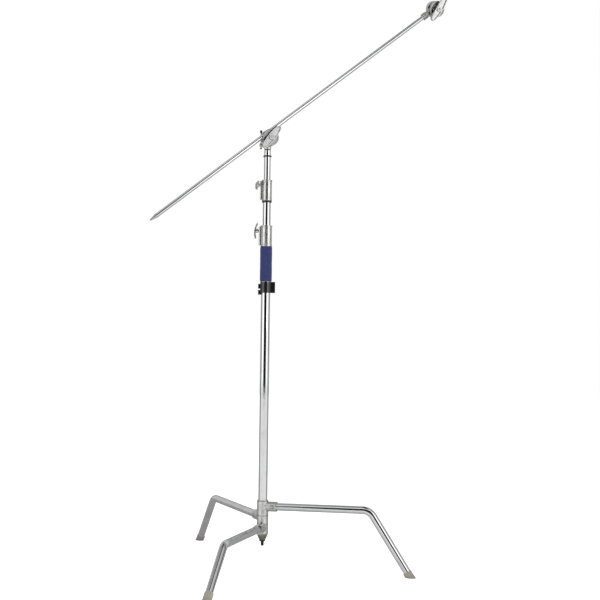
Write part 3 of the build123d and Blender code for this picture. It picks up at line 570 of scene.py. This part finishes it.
# A cap cut level by the floor: lines parallel to the leg run from the floor up to the rim,
# with shallow ribs across them, then over the rim and down the inside of the mouth.
def makeFoot(side, body):
    size = rubberFoot
    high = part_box("foot_" + side)[1]
    sole = next(mount for mount in frame["record"]["mounts"] if mount["name"] == "foot_" + side + "_sole")
    outward = Vector((sole["pos_m"][0], sole["pos_m"][1], 0))
    reach = outward.length
    outward.normalize()
    legRadius, slope = legLine("leg_" + side, outward, reach)
    along = np.array((outward.x * slope[0], outward.y * slope[0], slope[1]))
    across = np.array((-outward.y, outward.x, 0.0))
    square = np.cross(along, across)
    radius = legRadius + size["wall"]
    angle = np.linspace(0, 2 * np.pi, size["around"], endpoint=False)
    circle = np.cos(angle)[:, None] * across + np.sin(angle)[:, None] * square
    axis = np.array((outward.x * reach, outward.y * reach, 0.0))
    rimHeight = topOnAxis(high.z, along, square, radius)
    toFloor = -(axis[2] + radius * circle[:, 2]) / along[2]
    share = np.linspace(0, 1, size["along"])[:, None]
    distance = toFloor[None] * (1 - share) + -rimHeight * share
    fromRim = (distance + rimHeight) / (toFloor[None] + rimHeight)
    groove = np.sin(np.clip(fromRim, 0, 1) * np.pi * 2 * size["ribs"]) ** 2 * size["ribDepth"]
    ribbed = np.minimum(fromRim, 1 - fromRim) > size["plainShare"]
    outside = radius - groove * ribbed - size["lip"] * np.exp(-(fromRim / size["lipShare"]) ** 2)
    rows = [axis + outside[..., None] * circle[None] + distance[..., None] * along]
    mouth = legRadius + size["fit"]
    for ring, drop in ((radius - size["mouthWall"], 0.0), (mouth, 0.0), (mouth, size["inside"])):
        rows.append((axis + ring * circle + (drop - rimHeight) * along)[None])
    points = np.concatenate(rows).reshape(-1, 3)
    points[:size["around"], 2] = 0.0
    count = len(points) // size["around"]
    poles = np.array((points[:size["around"]].mean(0), points[-size["around"]:].mean(0)))
    faces = [gridFaces(count, size["around"], False, True),
             poleFaces(count * size["around"], 0, size["around"], True),
             poleFaces(count * size["around"] + 1, (count - 1) * size["around"], size["around"], False)]
    piece = makePiece("rubber_foot_" + side, np.concatenate((points, poles)), faces, 50)
    outwardFaces(piece)
    finishPiece(piece, rubber, body, "foot_" + side)


# How far above the floor, along the leg, the rim sits, from the height of its highest point.
def topOnAxis(top, along, square, radius):
    return (top - radius * abs(square[2])) / abs(along[2])


# A node's vertices in the object's frame: world = place + turn times local.
def worldPoints(node):
    mesh = nodes[node].data
    points = np.empty(len(mesh.vertices) * 3)
    mesh.vertices.foreach_get("co", points)
    place = np.array(nodes[node].matrix_world)
    return points.reshape(-1, 3) @ place[:3, :3].T + place[:3, 3]


# A leg's radius and the slope of its lower part as (outwards, up): the radius is the most that
# the tube reaches sideways, and the slope is the line from its top corner to its sole.
def legLine(node, outward, reach):
    points = worldPoints(node)
    out = points[:, 0] * outward.x + points[:, 1] * outward.y
    aside = points[:, 1] * outward.x - points[:, 0] * outward.y
    radius = np.abs(aside).max()
    top = points[:, 2].max()
    corner = out[points[:, 2] > top - rubberFoot["cornerBand"]].max()
    step = np.array((reach - corner, radius - top))
    return radius, step / np.linalg.norm(step)


baseStud = {"pitch": 0.00175, "depth": 0.00095, "steps": 96, "perPitch": 10, "point": 0.0016}


# A thread: the radius falls and rises with height and angle together, so the crest climbs
# one pitch each turn; the cone at the point narrows it.
def makeStud():
    size = baseStud
    low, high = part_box("base_stud")
    radius = (high.x - low.x) / 2
    rows = int((high.z - low.z) / size["pitch"] * size["perPitch"])
    height = np.linspace(low.z, high.z, rows)[:, None]
    angle = np.linspace(0, 2 * np.pi, size["steps"], endpoint=False)[None]
    phase = (height / size["pitch"] - angle / (2 * np.pi)) % 1
    tooth = 1 - np.abs(2 * phase - 1)
    crest = np.clip(tooth * 1.35, 0, 1)
    around = radius - size["depth"] * (1 - crest)
    around = np.minimum(around, radius - size["point"] + (height - low.z))
    points = np.stack((around * np.cos(angle), around * np.sin(angle), height + 0 * angle), -1).reshape(-1, 3)
    poles = np.array(((0, 0, low.z), (0, 0, high.z)))
    steps = size["steps"]
    faces = [gridFaces(rows, steps, False, True), poleFaces(rows * steps, 0, steps, True),
             poleFaces(rows * steps + 1, (rows - 1) * steps, steps, False)]
    piece = makePiece("threaded_stud", np.concatenate((points, poles)), faces, 40)
    outwardFaces(piece)
    finishPiece(piece, blackened, "base", "base_stud")


jawSpring = {"radius": 0.0072, "wire": 0.0008, "turns": 2.6, "length": 0.005, "steps": 260, "section": 14}


# A helix of round wire: the wire's circle is carried along the helix in the frame made by
# the outward, forward and upward directions of the coil.
def makeSpring(name, centre, axis, low, high, body):
    size = jawSpring
    axis, side, other = squareTo(axis)
    turn = np.linspace(0, 1, size["steps"])
    angle = turn * size["turns"] * 2 * np.pi
    outward = np.cos(angle)[:, None] * side + np.sin(angle)[:, None] * other
    forward = -np.sin(angle)[:, None] * side + np.cos(angle)[:, None] * other
    wire = size["wire"]
    rise = low + wire + (high - low - 2 * wire) * turn
    centreLine = np.array(centre) + size["radius"] * outward + rise[:, None] * axis
    climb = (high - low) / (size["turns"] * 2 * np.pi * size["radius"])
    travel = forward + climb * axis
    travel = travel / np.linalg.norm(travel, axis=1)[:, None]
    upwardLine = np.cross(outward, travel)
    section = np.linspace(0, 2 * np.pi, size["section"], endpoint=False)
    points = (centreLine[:, None] + wire * np.cos(section)[None, :, None] * outward[:, None]
              + wire * np.sin(section)[None, :, None] * upwardLine[:, None]).reshape(-1, 3)
    count, steps = size["steps"], size["section"]
    faces = [gridFaces(count, steps, False, True), poleFaces(count * steps, 0, steps, True),
             poleFaces(count * steps + 1, (count - 1) * steps, steps, False)]
    points = np.concatenate((points, centreLine[[0, -1]]))
    piece = makePiece(name, points, faces, 60)
    outwardFaces(piece)
    finishPiece(piece, steel, body)


# A spring sits between the jaws, centred on the bore that the rod passes through.
def makeJawSpring(name, jointName, mount, body):
    centre, out = headAxis(jointName)
    bore = next(item for item in frame["record"]["mounts"] if item["name"] == mount)
    middle = float(np.dot(np.array(bore["pos_m"]) - np.array(centre), np.array(out)))
    half = jawSpring["length"] / 2
    makeSpring(name, centre, out, middle - half, middle + half, body)


seamShadeRing = {"proud": 0.0004, "height": 0.0016, "depth": 0.003, "flat": 0.4}


# Painted shade: a thin dark ring, a little proud of the barrel, stands in for the shaded gap where two hubs meet.
def makeSeamShadeRing(name, hub):
    size = seamShadeRing
    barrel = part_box("collar_lower")[1].x
    half = size["height"] / 2
    proud = barrel + size["proud"]
    profile = [(barrel - size["depth"], -half), (barrel, -half), (proud, -half * size["flat"]),
               (proud, half * size["flat"]), (barrel, half), (barrel - size["depth"], half)]
    ring = ringPiece(name, (0, 0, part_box(hub)[0].z), (0, 0, 1), profile)
    finishPiece(ring, blackened, "base")


for side, body in footLegs.items():
    makeFoot(side, body)
makeStud()
# Painted shade: dark rings at the two hub joints.
makeSeamShadeRing("seam_shade_ring_low", "hub_left")
makeSeamShadeRing("seam_shade_ring_high", "hub_right")
makeJawSpring("head_spring", "arm_tilt", "head_small_bore", "head")
makeJawSpring("far_spring", "far_jaw_turn", "far_rod_bore", "arm")
print("feet, stud and springs made")

studio = {"strength": 1.4, "card": 0.012, "cardWide": 33.0, "cardMiddle": 0.24, "cardTall": 0.5,
          "backdrop": 1.0}


# A studio seen in reflections. Going round from the camera to the back of the room: a small
# dark card at the camera, bright walls in front, a dark gap a little behind the subject, then
# pale grey. Overhead the bright walls fade to a grey ceiling and the gap is weaker.
def makeWorld():
    world = bpy.data.worlds.new("studio")
    bpy.context.scene.world = world
    world.use_nodes = True
    tree = world.node_tree
    tree.nodes.clear()
    direction = addNode(tree, "TexCoord").outputs["Generated"]
    parts = addNode(tree, "SeparateXYZ", {0: direction})
    x, y, z = parts.outputs
    polar = maths(tree, "DIVIDE", maths(tree, "ARCCOSINE", maths(tree, "MULTIPLY", y, -1.0)), math.pi)
    walls = toneRamp(tree, polar, ((0.0, 0.9), (0.12, 1.1), (0.36, 1.1), (0.46, 0.85), (0.50, 0.03),
                                   (0.565, 0.03), (0.61, 0.42), (0.72, 0.5), (0.8, 0.24), (1.0, 0.2)))
    overhead = toneRamp(tree, polar, ((0.0, 1.0), (0.2, 1.1), (0.33, 0.9), (0.40, 0.5), (0.47, 0.28),
                                      (0.54, 0.2), (0.62, 0.42), (1.0, 0.65)))
    rising = remap(tree, z, 0.25, 0.6, 0.0, 1.0)
    tone = mixColours(tree, rising, walls, overhead)
    strip = maths(tree, "MULTIPLY", remap(tree, maths(tree, "ABSOLUTE", x), 0.13, 0.2, 1.0, 0.0),
                  remap(tree, z, 0.82, 0.9, 0.0, 1.0))
    tone = mixColours(tree, strip, tone, (studio["card"],) * 3 + (1,))
    wide = maths(tree, "DIVIDE", x, math.sin(math.radians(studio["cardWide"])))
    tall = maths(tree, "DIVIDE", maths(tree, "SUBTRACT", z, studio["cardMiddle"]), studio["cardTall"])
    reach = maths(tree, "ADD", maths(tree, "POWER", maths(tree, "ABSOLUTE", wide), 4.0),
                  maths(tree, "POWER", maths(tree, "ABSOLUTE", tall), 4.0))
    onCard = maths(tree, "MULTIPLY", remap(tree, reach, 0.6, 1.4, 1.0, 0.0), maths(tree, "LESS_THAN", y, 0.0))
    tone = mixColours(tree, onCard, tone, (studio["card"],) * 3 + (1,))
    seen = addNode(tree, "Background", {"Color": tone, "Strength": studio["strength"]})
    behind = addNode(tree, "Background", {"Color": (1, 1, 1, 1), "Strength": studio["backdrop"]})
    straight = addNode(tree, "LightPath").outputs["Is Camera Ray"]
    both = addNode(tree, "MixShader", {0: straight, 1: seen.outputs[0], 2: behind.outputs[0]})
    end = addNode(tree, "OutputWorld")
    tree.links.new(both.outputs[0], end.inputs["Surface"])


def toneRamp(tree, factor, stops):
    ramp = addNode(tree, "ValToRGB", {0: factor})
    elements = ramp.color_ramp.elements
    elements[0].color = (stops[0][1],) * 3 + (1,)
    elements[1].color = (stops[-1][1],) * 3 + (1,)
    for position, value in stops[1:-1]:
        elements.new(position).color = (value,) * 3 + (1,)
    return ramp.outputs[0]


softbox = {"rightFront": {"from": (2.1, -2.6, 1.9), "to": (0, 0, 1.0), "size": (1.0, 2.2), "power": 9.0},
           "leftFront": {"from": (-2.4, -2.2, 1.7), "to": (0, 0, 1.0), "size": (0.9, 2.2), "power": 1.0}}


def makeLights():
    for name, box in softbox.items():
        light = bpy.data.lights.new(name, "AREA")
        light.shape = "RECTANGLE"
        light.size, light.size_y = box["size"]
        light.energy = box["power"]
        lamp = bpy.data.objects.new(name, light)
        lamp.location = box["from"]
        lamp.rotation_mode = "QUATERNION"
        lamp.rotation_quaternion = (Vector(box["to"]) - Vector(box["from"])).to_track_quat("-Z", "Y")
        bpy.context.scene.collection.objects.link(lamp)


studioFloor = {"half": 9.0, "drop": 0.0003, "colour": (0.62, 0.62, 0.615, 1), "lift": 0.9, "glowFront": 0.62,
               "glowBack": 0.06}


def makeFloor():
    half = studioFloor["half"]
    corners = np.array(((-half, -half), (half, -half), (half, half), (-half, half)))
    points = np.concatenate((corners, np.full((4, 1), -studioFloor["drop"])), 1)
    floor = makePiece("studio_floor", points, [np.array([[0, 1, 2, 3]])])
    material, tree, shader, place = startMaterial("paperFloor", {"Roughness": 0.8})
    tone = mixColours(tree, noise(tree, place, 3.0, 2.0), studioFloor["colour"], (0.6, 0.6, 0.6, 1))
    tree.links.new(tone, shader.inputs["Base Color"])
    seen = addNode(tree, "LightPath").outputs["Is Camera Ray"]
    y = addNode(tree, "SeparateXYZ", {0: place}).outputs[1]
    glow = remap(tree, y, -0.5, 0.05, studioFloor["glowFront"], studioFloor["glowBack"])
    lift = maths(tree, "MULTIPLY_ADD", seen, studioFloor["lift"], glow)
    shader.inputs["Emission Color"].default_value = (1, 1, 1, 1)
    tree.links.new(lift, shader.inputs["Emission Strength"])
    floor.data.materials.append(material)


lens = {"place": (0, -4.5, 0.9814), "length": 70.75, "lookUp": 0.44, "lean": 0.78, "shift": 0.0575}


def makeCamera():
    data = bpy.data.cameras.new("studioCamera")
    data.sensor_width = 36
    data.lens = lens["length"]
    data.shift_x = lens["shift"]
    data.clip_end = 60
    camera = bpy.data.objects.new("studioCamera", data)
    pitch, lean = math.radians(lens["lookUp"]), math.radians(lens["lean"])
    forward = Vector((0, math.cos(pitch), math.sin(pitch)))
    level, rise = Vector((1, 0, 0)), Vector((0, -math.sin(pitch), math.cos(pitch)))
    right = level * math.cos(lean) + rise * math.sin(lean)
    top = rise * math.cos(lean) - level * math.sin(lean)
    columns = Matrix((right, top, -forward)).transposed().to_4x4()
    camera.matrix_world = Matrix.Translation(lens["place"]) @ columns
    bpy.context.scene.collection.objects.link(camera)
    bpy.context.scene.camera = camera
    bpy.context.scene.view_settings.view_transform = "Standard"


makeWorld()
makeLights()
makeFloor()
makeCamera()
print("studio and camera made")
